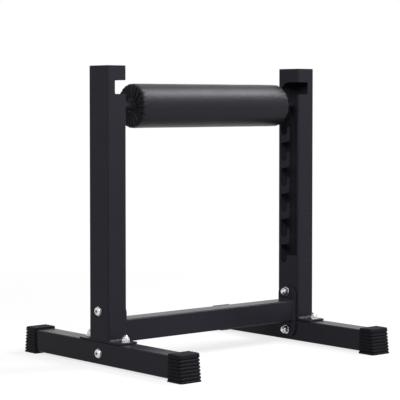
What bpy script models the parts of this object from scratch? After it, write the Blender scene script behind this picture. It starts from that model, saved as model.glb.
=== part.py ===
"""Split squat stand: two slotted posts on capped foot rails, a bolted crossbar and a padded roller.

The frame: X runs along the roller, +Y is the back, +Z is up, and the origin is the floor
under the middle of the stand. All sizes are in metres.
"""

import math

import bmesh
import bpy
from mathutils import Vector

# Clearance left between pieces that touch on the real stand
GAP = 0.0003

# Steel tubes
TUBE_WALL = 0.002
TUBE_RADIUS = 0.004           # outer corner radius

# Roller bar
BAR_DIAMETER = 0.020
BAR_WALL = 0.0025
BAR_REACH = 0.0255            # length of tube beyond each post's inner face
BAR_PLUG_HEAD = 0.002
BAR_PLUG_LENGTH = 0.014
BAR_PLUG_WALL = 0.002
BAR_PLUG_ROUND = 0.0005

# Posts
POST_SPACING = 0.523          # between the two inner faces
POST_WIDTH = 0.050            # along X
POST_LENGTH = 0.600

# Slots in the inner faces: strips and gaps from the front face back, then depths from the tube's top
FRONT_STRIP = 0.0048
CHANNEL_CLEARANCE = 0.0067    # channel wider than the bar
PRONG_BASE = 0.0088
PRONG_TIP = 0.0070
POCKET_CLEARANCE = 0.0006     # pocket wider than the bar
BACK_STRIP = 0.0091
ENTRY_TOP = 0.030
ENTRY_HEIGHT = 0.030
ENTRY_REACH = 0.031           # how far the entry cuts across the front face
ENTRY_RADIUS = 0.0025
ROOF_RADIUS = 0.026           # corner between the roof and the back of the first pocket
LIFT_ROOM = 0.0465            # from the seated bar up to the roof over the first pocket
POCKET_PITCH = 0.062
PLAIN_FOOT = 0.130            # least length of post left whole under the last pocket
PRONG_HEIGHT = 0.022
PRONG_TIP_RADIUS = 0.0025
TONGUE_FRONT = 0.0133         # thickness of the tongue under a pocket, at its front
TONGUE_BACK = 0.0192          # and at its back
TONGUE_RADIUS = 0.006
CHANNEL_STEP = 0.0195         # channel floor above the last pocket's floor
SLOT_RADIUS = 0.003
CUTTER_SPARE = 0.002          # how far a cutter passes the wall it cuts

# Plugs in the tops of the posts
PLUG_HEAD = 0.002
PLUG_SKIRT = 0.012
PLUG_WALL = 0.0025

# Base plates under the posts
PLATE_THICKNESS = 0.004
PLATE_REACH = 0.040           # beyond the post's front and back faces
PLATE_RADIUS = 0.004
PLATE_BOLT_REACH = 0.028      # from the post's face to each bolt

# Foot rails
RAIL_WIDTH = 0.050
RAIL_HEIGHT = 0.050
RAIL_LENGTH = 0.550

# Caps on the rail ends
CAP_FLOOR = 0.005             # rubber under the rail
CAP_ROOF = 0.003              # rubber over the rail
CAP_SIDE = 0.004              # rubber beside the rail
CAP_END = 0.005               # rubber beyond the rail's end, measured at the top
CAP_GRIP = 0.0315             # length of rail inside the cap
CAP_SLANT = 0.007             # how much further the end face reaches at the floor
CAP_SKIRT = 0.0025            # how much further the open edge reaches at the floor
CAP_RADIUS = 0.003
LIP_COUNT = 8                 # lips stacked up the cap's sides
LIP_SHARE = 0.5               # of each step that is lip
GROOVE_DEPTH = 0.0013
GROOVE_SLOPE = 0.15           # of each step taken by a groove's upper or lower slope

# Crossbar with a flange at each end
CROSSBAR_WIDTH = 0.050
CROSSBAR_HEIGHT = 0.050
FLANGE_WIDTH = 0.057
FLANGE_THICKNESS = 0.005
FLANGE_RADIUS = 0.018
BOLT_TO_CROSSBAR_LOW = 0.0225     # from the lower bolt's axis up to the crossbar
BOLT_TO_CROSSBAR_HIGH = 0.0205    # from the crossbar up to the upper bolt's axis
FLANGE_EDGE_LOW = 0.015           # from the lower bolt's axis down to the flange's end
FLANGE_EDGE_HIGH = 0.012          # from the upper bolt's axis up to the flange's end

# Padded roller
ROLLER_DIAMETER = 0.0995
ROLLER_GAP_LEFT = 0.050       # between the pad and the left post
ROLLER_GAP_RIGHT = 0.024      # between the pad and the right post
ROLLER_SHOULDER = 0.007
CORE_CLEARANCE = 0.0005       # running gap round the bar
CORE_WALL = 0.0025
CORE_PROUD = 0.0015           # how far the core tube stands out of the pad
COVER_THICKNESS = 0.0015
END_DISH = 0.0015             # how far the cover's ends sink at the core
PLEAT_COUNT = 22
PLEAT_DEPTH = 0.0009

# Fasteners: socket screws, flat washers, and hexagon nuts with a locking collar
BOLT_DIAMETER = 0.010
BOLT_CLEARANCE = 0.0005       # round the shank, in every hole
BOLT_TIP = 0.003              # how far a screw stands out of its nut
BOLT_CHAMFER = 0.001
BOLT_HEAD_DIAMETER = 0.0178
SIDE_HEAD_HEIGHT = 0.0055
FLOOR_CLEARANCE = 0.001       # under the screw heads below the rails
SOCKET_FLATS = 0.006
SOCKET_DEPTH = 0.0022
WASHER_DIAMETER = 0.021
WASHER_THICKNESS = 0.002
NUT_FLATS = 0.0165
NUT_HEIGHT = 0.0065
NUT_CLEARANCE = 0.0003        # round the shank, where the thread would be
COLLAR_DIAMETER = 0.0148
COLLAR_HEIGHT = 0.0033

# Facets
ROUND_STEPS = 18              # fasteners: a multiple of six, so that hexagons pair with circles
BAR_STEPS = 32
CORNER_STEPS = 4
SHOULDER_STEPS = 4
FACET_ERROR = 0.00006         # how far a fillet's facets may stay inside the true arc

# Across a post, from its front face
CHANNEL_BACK = FRONT_STRIP + BAR_DIAMETER + CHANNEL_CLEARANCE
POCKET_WIDTH = BAR_DIAMETER + POCKET_CLEARANCE
POCKET_FRONT = CHANNEL_BACK + PRONG_BASE
POCKET_BACK = POCKET_FRONT + POCKET_WIDTH
POST_DEPTH = POCKET_BACK + BACK_STRIP
POCKET_TOP = ENTRY_TOP + LIFT_ROOM + BAR_DIAMETER
POCKET_COUNT = 1 + int((POST_LENGTH - POCKET_TOP - PLAIN_FOOT) / POCKET_PITCH)

# Sideways places
INNER_FACE = POST_SPACING / 2
POST_X = INNER_FACE + POST_WIDTH / 2
RAIL_X = INNER_FACE + RAIL_WIDTH / 2
FLANGE_OUTER = INNER_FACE - GAP
FLANGE_INNER = FLANGE_OUTER - FLANGE_THICKNESS
CROSSBAR_END = FLANGE_INNER - GAP
BAR_HALF = INNER_FACE + BAR_REACH
ROLLER_LENGTH = POST_SPACING - ROLLER_GAP_LEFT - ROLLER_GAP_RIGHT
ROLLER_X = (ROLLER_GAP_LEFT - ROLLER_GAP_RIGHT) / 2

# Heights
RAIL_BOTTOM = CAP_FLOOR
RAIL_TOP = RAIL_BOTTOM + RAIL_HEIGHT
RAIL_LEVEL = (RAIL_BOTTOM + RAIL_TOP) / 2
PLATE_BOTTOM = RAIL_TOP + GAP
PLATE_TOP = PLATE_BOTTOM + PLATE_THICKNESS
POST_BOTTOM = PLATE_TOP + GAP
POST_TOP = POST_BOTTOM + POST_LENGTH
CROSSBAR_LEVEL = RAIL_LEVEL + BOLT_TO_CROSSBAR_LOW + CROSSBAR_HEIGHT / 2
UPPER_BOLT_LEVEL = CROSSBAR_LEVEL + CROSSBAR_HEIGHT / 2 + BOLT_TO_CROSSBAR_HIGH
FLANGE_BOTTOM = RAIL_LEVEL - FLANGE_EDGE_LOW
FLANGE_TOP = UPPER_BOLT_LEVEL + FLANGE_EDGE_HIGH
BAR_Z = POST_TOP - POCKET_TOP + GAP + BAR_DIAMETER / 2

# Depths
BAR_Y = (POCKET_FRONT + POCKET_BACK) / 2 - POST_DEPTH / 2
PLATE_BOLT_Y = POST_DEPTH / 2 + PLATE_BOLT_REACH

# Radii
BOLT_HOLE = BOLT_DIAMETER / 2 + BOLT_CLEARANCE
CORE_BORE = BAR_DIAMETER / 2 + CORE_CLEARANCE
CORE_RADIUS = CORE_BORE + CORE_WALL

PALETTE = {
    "black_steel": ((0.022, 0.021, 0.024), 0.42, 0.0),
    "black_plastic": ((0.018, 0.018, 0.019), 0.55, 0.0),
    "black_rubber": ((0.015, 0.015, 0.016), 0.80, 0.0),
    "zinc": ((0.72, 0.72, 0.71), 0.28, 1.0),
    "black_leather": ((0.024, 0.023, 0.026), 0.38, 0.0),
    "grey_foam": ((0.10, 0.10, 0.10), 0.95, 0.0),
}


def clear_scene():
    """Empty the scene before anything is modelled."""
    for obj in list(bpy.data.objects):
        bpy.data.objects.remove(obj, do_unlink=True)


def palette_material(slot):
    """Return the Principled material of one palette entry."""
    found = bpy.data.materials.get(slot)
    if found:
        return found
    colour, roughness, metallic = PALETTE[slot]
    made = bpy.data.materials.new(slot)
    made.use_nodes = True
    shader = made.node_tree.nodes["Principled BSDF"]
    shader.inputs["Base Color"].default_value = (*colour, 1.0)
    shader.inputs["Roughness"].default_value = roughness
    shader.inputs["Metallic"].default_value = metallic
    return made


def add_body(name, place=(0, 0, 0)):
    """Add the empty that carries the pieces of one rigid body, on its joint's axis."""
    body = bpy.data.objects.new(name + "_body", None)
    bpy.context.collection.objects.link(body)
    body.location = place
    return body


def add_piece(name, mesh, slot, body, place=(0, 0, 0), turn=(0, 0, 0), smooth=30):
    """Make a bmesh a named object on a body; its place is in the stand's own frame."""
    bmesh.ops.recalc_face_normals(mesh, faces=mesh.faces)
    data = bpy.data.meshes.new(name)
    mesh.to_mesh(data)
    mesh.free()
    data.materials.append(palette_material(slot))
    data.shade_smooth()
    data.set_sharp_from_angle(angle=math.radians(smooth))
    piece = bpy.data.objects.new(name, data)
    bpy.context.collection.objects.link(piece)
    piece.location = Vector(place) - body.location
    piece.rotation_euler = turn
    piece.parent = body
    return piece


def cut(piece, mesh, place=(0, 0, 0), turn=(0, 0, 0)):
    """Cut a bmesh, placed in the stand's own frame, out of a piece."""
    bmesh.ops.recalc_face_normals(mesh, faces=mesh.faces)
    name = f"{piece.name}_cutter_{len(piece.modifiers)}"
    data = bpy.data.meshes.new(name)
    mesh.to_mesh(data)
    mesh.free()
    cutter = bpy.data.objects.new(name, data)
    bpy.context.collection.objects.link(cutter)
    cutter.location = place
    cutter.rotation_euler = turn
    cutter.hide_render = True
    cutter.display_type = "WIRE"
    step = piece.modifiers.new(name, "BOOLEAN")
    step.operation = "DIFFERENCE"
    step.solver = "EXACT"
    step.object = cutter


def on_axis(axis, u, v, along):
    """Place a section's point (u, v) at a distance along an axis."""
    return {"X": (along, u, v), "Y": (u, along, v), "Z": (u, v, along)}[axis]


def add_ring(mesh, outline, axis, along):
    """Add an outline's points to a mesh."""
    return [mesh.verts.new(on_axis(axis, u, v, along)) for u, v in outline]


def bridge(mesh, ring, other):
    """Join two rings with faces; either may be a single point, as at a pole."""
    count = max(len(ring), len(other))
    for k in range(count):
        n = (k + 1) % count
        corners = [ring[k % len(ring)], ring[n % len(ring)], other[n % len(other)], other[k % len(other)]]
        mesh.faces.new(list(dict.fromkeys(corners)))


def capped(levels, axis):
    """Join outlines, given as (outline, along), into a solid that is closed at its first and last one."""
    mesh = bmesh.new()
    rings = [add_ring(mesh, outline, axis, along) for outline, along in levels]
    for ring, other in zip(rings, rings[1:]):
        bridge(mesh, ring, other)
    for ring in (rings[0], rings[-1]):
        if len(ring) > 1:
            mesh.faces.new(ring)
    return mesh


def looped(levels, axis):
    """Join outlines, given as (outline, along), into a ring-shaped solid whose last one meets its first."""
    mesh = bmesh.new()
    rings = [add_ring(mesh, outline, axis, along) for outline, along in levels]
    for ring, other in zip(rings, rings[1:] + rings[:1]):
        bridge(mesh, ring, other)
    return mesh


def prism(outline, axis, low, high):
    """Extrude a closed outline along an axis."""
    return capped([(outline, low), (outline, high)], axis)


def hollow_prism(outer, inner, axis, low, high):
    """Extrude the band between two outlines that have as many points."""
    return looped([(outer, low), (outer, high), (inner, high), (inner, low)], axis)


def circle(radius, steps=ROUND_STEPS, centre=(0, 0)):
    """Outline of a circle; a radius of zero is a single point."""
    if not radius:
        return [centre]
    turns = [2 * math.pi * k / steps for k in range(steps)]
    return [(centre[0] + radius * math.cos(turn), centre[1] + radius * math.sin(turn)) for turn in turns]


def hexagon(flats, steps=ROUND_STEPS):
    """Outline of a hexagon whose first point is a corner, with as many points as a circle."""
    outline = []
    for k in range(steps):
        turn = 2 * math.pi * k / steps
        from_flat = turn % (math.pi / 3) - math.pi / 6
        radius = flats / 2 / math.cos(from_flat)
        outline.append((radius * math.cos(turn), radius * math.sin(turn)))
    return outline


def rounded_rectangle(width, height, radius, centre=(0, 0), steps=CORNER_STEPS):
    """Outline of a rectangle with round corners."""
    outline = []
    for corner, (su, sv) in enumerate(((1, 1), (-1, 1), (-1, -1), (1, -1))):
        cu = centre[0] + su * (width / 2 - radius)
        cv = centre[1] + sv * (height / 2 - radius)
        for k in range(steps + 1):
            angle = math.radians(90 * (corner + k / steps))
            outline.append((cu + radius * math.cos(angle), cv + radius * math.sin(angle)))
    return outline


def filleted(corners):
    """Outline through corners given as (u, v, radius), each rounded to its radius."""
    outline = []
    for k, (u, v, radius) in enumerate(corners):
        here = Vector((u, v))
        before = (Vector(corners[k - 1][:2]) - here).normalized()
        after = (Vector(corners[(k + 1) % len(corners)][:2]) - here).normalized()
        if not radius:
            outline.append(here)
            continue
        half = before.angle(after) / 2
        centre = here + (before + after).normalized() * radius / math.sin(half)
        start = here + before * radius / math.tan(half) - centre
        end = here + after * radius / math.tan(half) - centre
        sweep = math.atan2(start.cross(end), start.dot(end))
        pieces = round(abs(sweep) / (2 * math.acos(1 - FACET_ERROR / radius)))
        for n in range(pieces + 1):
            turn = sweep * n / pieces
            outline.append(centre + Vector((start.x * math.cos(turn) - start.y * math.sin(turn),
                                            start.x * math.sin(turn) + start.y * math.cos(turn))))
    kept = [point for k, point in enumerate(outline) if (point - outline[k - 1]).length > 1e-6]
    return [tuple(point) for point in kept]


def side_name(side):
    """Say which side of the stand a sign stands for."""
    return "right" if side > 0 else "left"


def end_name(end):
    """Say which end of a foot rail a sign stands for."""
    return "rear" if end > 0 else "front"


def tube_sections(width, height, centre):
    """Outer and inner outlines of a rectangular tube."""
    outer = rounded_rectangle(width, height, TUBE_RADIUS, centre)
    inner = rounded_rectangle(width - 2 * TUBE_WALL, height - 2 * TUBE_WALL, TUBE_RADIUS - TUBE_WALL, centre)
    return outer, inner


def slot_outline():
    """Outline of the entry, the channel and the hooked pockets on an inner face, in Y and Z."""
    across = [(-CUTTER_SPARE, ENTRY_TOP, 0), (POCKET_BACK, ENTRY_TOP, ROOF_RADIUS)]
    for k in range(POCKET_COUNT):
        floor = POCKET_TOP + k * POCKET_PITCH
        across.append((POCKET_BACK, floor, POCKET_WIDTH / 2))
        across.append((POCKET_FRONT, floor, POCKET_WIDTH / 2))
        if k < POCKET_COUNT - 1:
            across.append((CHANNEL_BACK + PRONG_TIP, floor - PRONG_HEIGHT, PRONG_TIP_RADIUS))
            across.append((CHANNEL_BACK, floor - PRONG_HEIGHT, PRONG_TIP_RADIUS))
            across.append((CHANNEL_BACK, floor + TONGUE_FRONT, TONGUE_RADIUS))
            across.append((POCKET_BACK, floor + TONGUE_BACK, SLOT_RADIUS))
    channel_floor = POCKET_TOP + (POCKET_COUNT - 1) * POCKET_PITCH - CHANNEL_STEP
    across.append((POCKET_FRONT, channel_floor, SLOT_RADIUS))
    across.append((FRONT_STRIP, channel_floor, SLOT_RADIUS))
    across.append((FRONT_STRIP, ENTRY_TOP + ENTRY_HEIGHT, 0))
    across.append((-CUTTER_SPARE, ENTRY_TOP + ENTRY_HEIGHT, 0))
    return filleted([(back - POST_DEPTH / 2, POST_TOP - depth, radius) for back, depth, radius in across])


def entry_outline(side):
    """Outline of the entry where it cuts across a front face, in X and Z."""
    near = side * (INNER_FACE - CUTTER_SPARE)
    far = side * (INNER_FACE + ENTRY_REACH)
    top = POST_TOP - ENTRY_TOP
    bottom = top - ENTRY_HEIGHT
    return filleted([(near, top, 0), (far, top, ENTRY_RADIUS), (far, bottom, ENTRY_RADIUS), (near, bottom, 0)])


def drill_sideways(piece, side, near, far, level):
    """Drill a bolt hole through a piece along X, between two distances off the middle."""
    hole = circle(BOLT_HOLE, centre=(0, level))
    cut(piece, prism(hole, "X", side * (near - CUTTER_SPARE), side * (far + CUTTER_SPARE)))


def drill_plate_holes(piece, side, low, high):
    """Drill a base plate's two upright bolt holes through a piece."""
    for end in (-1, 1):
        hole = circle(BOLT_HOLE, centre=(side * RAIL_X, end * PLATE_BOLT_Y))
        cut(piece, prism(hole, "Z", low - CUTTER_SPARE, high + CUTTER_SPARE))


def make_post(side, body):
    """A post: a tube with the entry, the row of hooked pockets and a bolt hole."""
    outer, inner = tube_sections(POST_WIDTH, POST_DEPTH, (side * POST_X, 0))
    post = add_piece(f"{side_name(side)}_post", hollow_prism(outer, inner, "Z", POST_BOTTOM, POST_TOP),
                     "black_steel", body)
    wall_back = INNER_FACE + TUBE_WALL + CUTTER_SPARE
    cut(post, prism(slot_outline(), "X", side * (INNER_FACE - CUTTER_SPARE), side * wall_back))
    front = -POST_DEPTH / 2
    cut(post, prism(entry_outline(side), "Y", front - CUTTER_SPARE, front + TUBE_RADIUS + CUTTER_SPARE))
    drill_sideways(post, side, INNER_FACE, INNER_FACE + POST_WIDTH, UPPER_BOLT_LEVEL)


def make_post_plug(side, body):
    """Plastic plug that closes the top of a post: a flat head on a hollow skirt."""
    centre = (side * POST_X, 0)
    seat = POST_TOP + GAP
    end = seat - PLUG_SKIRT
    width = POST_WIDTH - 2 * (TUBE_WALL + GAP)
    depth = POST_DEPTH - 2 * (TUBE_WALL + GAP)
    radius = TUBE_RADIUS - TUBE_WALL
    head = rounded_rectangle(POST_WIDTH, POST_DEPTH, TUBE_RADIUS, centre)
    skirt = rounded_rectangle(width, depth, radius, centre)
    hollow = rounded_rectangle(width - 2 * PLUG_WALL, depth - 2 * PLUG_WALL, radius, centre)
    mesh = capped([(head, seat + PLUG_HEAD), (head, seat), (skirt, seat), (skirt, end), (hollow, end),
                   (hollow, seat)], "Z")
    add_piece(f"{side_name(side)}_post_plug", mesh, "black_plastic", body)


def make_base_plate(side, body):
    """Plate under a post, with a bolt hole in front of it and one behind it."""
    outline = rounded_rectangle(RAIL_WIDTH, POST_DEPTH + 2 * PLATE_REACH, PLATE_RADIUS, (side * RAIL_X, 0))
    plate = add_piece(f"{side_name(side)}_base_plate", prism(outline, "Z", PLATE_BOTTOM, PLATE_TOP),
                      "black_steel", body)
    drill_plate_holes(plate, side, PLATE_BOTTOM, PLATE_TOP)


def make_foot_rail(side, body):
    """Tube that carries a post, with its bolt holes."""
    outer, inner = tube_sections(RAIL_WIDTH, RAIL_HEIGHT, (side * RAIL_X, RAIL_LEVEL))
    rail = add_piece(f"{side_name(side)}_foot_rail",
                     hollow_prism(outer, inner, "Y", -RAIL_LENGTH / 2, RAIL_LENGTH / 2), "black_steel", body)
    drill_sideways(rail, side, INNER_FACE, INNER_FACE + RAIL_WIDTH, RAIL_LEVEL)
    drill_plate_holes(rail, side, RAIL_BOTTOM, RAIL_TOP)


def cap_levels():
    """Heights up a cap's wall, each with how far the wall is drawn in there."""
    height = RAIL_TOP + CAP_ROOF
    step = height / LIP_COUNT
    levels = []
    for k in range(LIP_COUNT):
        base = k * step
        levels += [(base, 0), (base + step * LIP_SHARE, 0)]
        levels += [(base + step * (LIP_SHARE + GROOVE_SLOPE), GROOVE_DEPTH),
                   (base + step * (1 - GROOVE_SLOPE), GROOVE_DEPTH)]
    return levels[:-3] + [(height, 0)]


def cap_plan(inset, share, side, end):
    """Outline of a cap at one height, in X and Y; share runs from 1 at the floor to 0 at the top."""
    half = RAIL_WIDTH / 2 + CAP_SIDE - inset
    tip = RAIL_LENGTH / 2 + CAP_END + CAP_SLANT * share - inset
    mouth = RAIL_LENGTH / 2 - CAP_GRIP - CAP_SKIRT * share
    corners = [(-half, mouth, 0), (-half, tip, CAP_RADIUS), (half, tip, CAP_RADIUS), (half, mouth, 0)]
    return filleted([(side * RAIL_X + x, end * y, radius) for x, y, radius in corners])


def make_foot_cap(side, end, body):
    """Ribbed rubber cap over one end of a foot rail."""
    levels = cap_levels()
    height = levels[-1][0]
    mesh = capped([(cap_plan(inset, 1 - level / height, side, end), level) for level, inset in levels], "Z")
    cap = add_piece(f"{side_name(side)}_{end_name(end)}_foot_cap", mesh, "black_rubber", body)
    socket = rounded_rectangle(RAIL_WIDTH + 2 * GAP, RAIL_HEIGHT + 2 * GAP, TUBE_RADIUS + GAP,
                               (side * RAIL_X, RAIL_LEVEL))
    mouth = RAIL_LENGTH / 2 - CAP_GRIP - CAP_SKIRT - CUTTER_SPARE
    cut(cap, prism(socket, "Y", end * mouth, end * (RAIL_LENGTH / 2 + GAP)))


def make_crossbar(body):
    """Tube between the posts, and the flange at each end of it."""
    outer, inner = tube_sections(CROSSBAR_WIDTH, CROSSBAR_HEIGHT, (0, CROSSBAR_LEVEL))
    add_piece("crossbar", hollow_prism(outer, inner, "X", -CROSSBAR_END, CROSSBAR_END), "black_steel", body)
    outline = rounded_rectangle(FLANGE_WIDTH, FLANGE_TOP - FLANGE_BOTTOM, FLANGE_RADIUS,
                                (0, (FLANGE_TOP + FLANGE_BOTTOM) / 2), 2 * CORNER_STEPS)
    for side in (-1, 1):
        flange = add_piece(f"{side_name(side)}_crossbar_flange",
                           prism(outline, "X", side * FLANGE_INNER, side * FLANGE_OUTER), "black_steel", body)
        for level in (RAIL_LEVEL, UPPER_BOLT_LEVEL):
            drill_sideways(flange, side, FLANGE_INNER, FLANGE_OUTER, level)


def make_screw(name, length, head_height, place, turn, body):
    """A socket screw that seats on its place, with its head towards local +Z."""
    shank = BOLT_DIAMETER / 2
    head = BOLT_HEAD_DIAMETER / 2
    profile = [(-length, 0), (-length, shank - BOLT_CHAMFER), (-length + BOLT_CHAMFER, shank), (0, shank), (0, head),
               (head_height * 0.3, head), (head_height * 0.7, head * 0.86), (head_height, head * 0.62),
               (head_height, 0)]
    screw = add_piece(name, capped([(circle(radius), along) for along, radius in profile], "Z"), "zinc", body,
                      place, turn)
    socket = prism(hexagon(SOCKET_FLATS, 6), "Z", head_height - SOCKET_DEPTH, head_height + CUTTER_SPARE)
    cut(screw, socket, place, turn)


def make_washer(name, place, turn, body):
    """A flat washer that lies on its place and rises along local +Z."""
    ring = hollow_prism(circle(WASHER_DIAMETER / 2), circle(BOLT_HOLE), "Z", 0, WASHER_THICKNESS)
    add_piece(name, ring, "zinc", body, place, turn)


def make_nut(name, place, turn, body):
    """A hexagon nut with a round locking collar, rising along local +Z."""
    flats = hexagon(NUT_FLATS)
    collar = circle(COLLAR_DIAMETER / 2)
    bore = circle(BOLT_DIAMETER / 2 + NUT_CLEARANCE)
    top = NUT_HEIGHT + COLLAR_HEIGHT
    mesh = looped([(flats, 0), (flats, NUT_HEIGHT), (collar, NUT_HEIGHT), (collar, top), (bore, top), (bore, 0)],
                  "Z")
    add_piece(name, mesh, "zinc", body, place, turn)


def make_side_fasteners(side, label, tube_width, level, body):
    """Screw, two washers and nut that clamp a crossbar flange to a post or a rail."""
    name = f"{side_name(side)}_{label}"
    outward = (0, side * math.pi / 2, 0)
    inward = (0, -side * math.pi / 2, 0)
    outer = INNER_FACE + tube_width + GAP
    seat = outer + WASHER_THICKNESS + GAP
    inner = FLANGE_INNER - GAP
    nut_seat = inner - WASHER_THICKNESS - GAP
    length = seat - nut_seat + NUT_HEIGHT + COLLAR_HEIGHT + BOLT_TIP
    make_washer(f"{name}_head_washer", (side * outer, 0, level), outward, body)
    make_screw(f"{name}_bolt", length, SIDE_HEAD_HEIGHT, (side * seat, 0, level), outward, body)
    make_washer(f"{name}_nut_washer", (side * inner, 0, level), inward, body)
    make_nut(f"{name}_nut", (side * nut_seat, 0, level), inward, body)


def make_plate_fasteners(side, end, body):
    """Screw from under the rail, with its washer and nut on the base plate."""
    name = f"{side_name(side)}_{end_name(end)}_plate"
    x = side * RAIL_X
    y = end * PLATE_BOLT_Y
    seat = RAIL_BOTTOM - GAP
    washer_seat = PLATE_TOP + GAP
    nut_seat = washer_seat + WASHER_THICKNESS + GAP
    length = nut_seat + NUT_HEIGHT + COLLAR_HEIGHT + BOLT_TIP - seat
    make_screw(f"{name}_bolt", length, seat - FLOOR_CLEARANCE, (x, y, seat), (math.pi, 0, 0), body)
    make_washer(f"{name}_washer", (x, y, washer_seat), (0, 0, 0), body)
    make_nut(f"{name}_nut", (x, y, nut_seat), (0, 0, 0), body)


def make_roller_bar(body):
    """Tube whose ends lie in the posts' pockets, with a plug in each end."""
    radius = BAR_DIAMETER / 2
    bore = radius - BAR_WALL
    tube = hollow_prism(circle(radius, BAR_STEPS), circle(bore, BAR_STEPS), "X", -BAR_HALF, BAR_HALF)
    add_piece("roller_bar", tube, "black_steel", body, body.location)
    seat = BAR_HALF + GAP
    inner_end = seat - BAR_PLUG_LENGTH
    face = seat + BAR_PLUG_HEAD
    skirt = circle(bore - GAP)
    hollow = circle(bore - GAP - BAR_PLUG_WALL)
    head = circle(radius - GAP)
    head_rim = circle(radius - GAP - BAR_PLUG_ROUND)
    for side in (-1, 1):
        mesh = capped([(hollow, side * seat), (hollow, side * inner_end), (skirt, side * inner_end),
                       (skirt, side * seat), (head, side * seat), (head, side * (face - BAR_PLUG_ROUND)),
                       (head_rim, side * face)], "X")
        add_piece(f"{side_name(side)}_bar_plug", mesh, "black_plastic", body, body.location)


def cover_end():
    """Profile of one end of the cover's outside, from the core to the rim, as (along, radius, pleated)."""
    half = ROLLER_LENGTH / 2
    rim = ROLLER_DIAMETER / 2 - ROLLER_SHOULDER
    core = CORE_RADIUS + GAP
    profile = [(half - END_DISH, core, False), (half - END_DISH / 2, core + (rim - core) / 6, True),
               (half, (core + rim) / 2, True), (half, rim, True)]
    for k in range(1, SHOULDER_STEPS + 1):
        angle = math.radians(90 * k / SHOULDER_STEPS)
        along = half - ROLLER_SHOULDER * (1 - math.cos(angle))
        profile.append((along, rim + ROLLER_SHOULDER * math.sin(angle), False))
    return profile


def lining_end():
    """Profile of one end of the cover's inside, from the core to the rim, as (along, radius)."""
    inside = ROLLER_LENGTH / 2 - END_DISH - PLEAT_DEPTH - COVER_THICKNESS
    radius = ROLLER_DIAMETER / 2 - COVER_THICKNESS
    return [(inside, CORE_RADIUS + GAP), (inside, radius - ROLLER_SHOULDER), (inside - ROLLER_SHOULDER, radius)]


def cover_mesh():
    """The cover: a skin round the foam, with its ends drawn into pleats at the core."""
    steps = 2 * PLEAT_COUNT
    outside = cover_end()
    lining = [(along, radius, False) for along, radius in lining_end()]
    profile = [(-along, radius, pleated) for along, radius, pleated in outside] + outside[::-1]
    profile += lining + [(-along, radius, pleated) for along, radius, pleated in lining[::-1]]
    mesh = looped([(circle(radius, steps), along) for along, radius, pleated in profile], "X")
    mesh.verts.ensure_lookup_table()
    for index, (along, radius, pleated) in enumerate(profile):
        if pleated:
            for k in range(0, steps, 2):
                mesh.verts[index * steps + k].co.x -= math.copysign(PLEAT_DEPTH, along)
    return mesh


def make_roller_pad(body):
    """Core tube, foam and cover of the pad that turns on the bar."""
    reach = ROLLER_LENGTH / 2 + CORE_PROUD
    core = hollow_prism(circle(CORE_RADIUS, BAR_STEPS), circle(CORE_BORE, BAR_STEPS), "X", -reach, reach)
    add_piece("roller_core", core, "black_plastic", body, body.location)
    end = [(along - GAP, max(radius - GAP, CORE_RADIUS + GAP)) for along, radius in lining_end()]
    foam = [(-along, radius) for along, radius in end] + end[::-1]
    add_piece("roller_foam", looped([(circle(radius, BAR_STEPS), along) for along, radius in foam], "X"),
              "grey_foam", body, body.location)
    add_piece("roller_cover", cover_mesh(), "black_leather", body, body.location, smooth=40)


def build():
    """Model the whole stand."""
    clear_scene()
    frame = add_body("frame")
    for side in (-1, 1):
        make_post(side, frame)
        make_post_plug(side, frame)
        make_base_plate(side, frame)
        make_foot_rail(side, frame)
        for end in (-1, 1):
            make_foot_cap(side, end, frame)
            make_plate_fasteners(side, end, frame)
        make_side_fasteners(side, "upper", POST_WIDTH, UPPER_BOLT_LEVEL, frame)
        make_side_fasteners(side, "lower", RAIL_WIDTH, RAIL_LEVEL, frame)
    make_crossbar(frame)
    make_roller_bar(add_body("bar", (0, BAR_Y, BAR_Z)))
    make_roller_pad(add_body("roller", (ROLLER_X, BAR_Y, BAR_Z)))


build()
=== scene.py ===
"""Finished look of the split squat stand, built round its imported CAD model.

The file is laid out as a Blender add-on and is run as a script. It keeps the CAD model's frame:
X runs along the roller, +Y is the back, +Z is up, and the origin is the floor under the middle.
All sizes are in metres.
"""

from collections import namedtuple
from math import atan2, cos, exp, pi, radians, sin, tan

import bmesh
import bpy
from bpy.props import FloatProperty, FloatVectorProperty, IntProperty, PointerProperty
from bpy.types import Operator, Panel, PropertyGroup
from mathutils import Matrix, Vector, noise


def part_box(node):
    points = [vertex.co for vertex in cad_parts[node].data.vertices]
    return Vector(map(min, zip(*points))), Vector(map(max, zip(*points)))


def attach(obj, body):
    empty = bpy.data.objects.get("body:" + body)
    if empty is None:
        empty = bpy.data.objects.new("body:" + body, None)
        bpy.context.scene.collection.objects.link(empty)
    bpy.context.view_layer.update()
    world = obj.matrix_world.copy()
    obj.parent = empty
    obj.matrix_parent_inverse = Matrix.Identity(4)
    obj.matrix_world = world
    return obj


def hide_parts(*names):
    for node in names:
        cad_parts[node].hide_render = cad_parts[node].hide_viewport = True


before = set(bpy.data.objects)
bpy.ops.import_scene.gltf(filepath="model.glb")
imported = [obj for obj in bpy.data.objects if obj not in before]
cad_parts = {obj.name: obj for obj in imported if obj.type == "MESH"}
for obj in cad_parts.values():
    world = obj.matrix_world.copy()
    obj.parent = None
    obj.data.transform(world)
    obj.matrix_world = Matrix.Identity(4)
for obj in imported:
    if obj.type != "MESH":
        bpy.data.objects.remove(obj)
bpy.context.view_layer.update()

bl_info = {
    "name": "Split Squat Stand",
    "version": (1, 0, 0),
    "blender": (4, 5, 0),
    "location": "3D View > Sidebar > Squat Stand",
    "description": "Models and finishes a slotted split squat stand with a padded roller",
    "category": "Object",
}

SIDES = (("left", -1), ("right", 1))
ENDS = (("front", -1), ("rear", 1))
TOWARDS_RIGHT = Vector((1, 0, 0))
UPWARDS = Vector((0, 0, 1))

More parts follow.
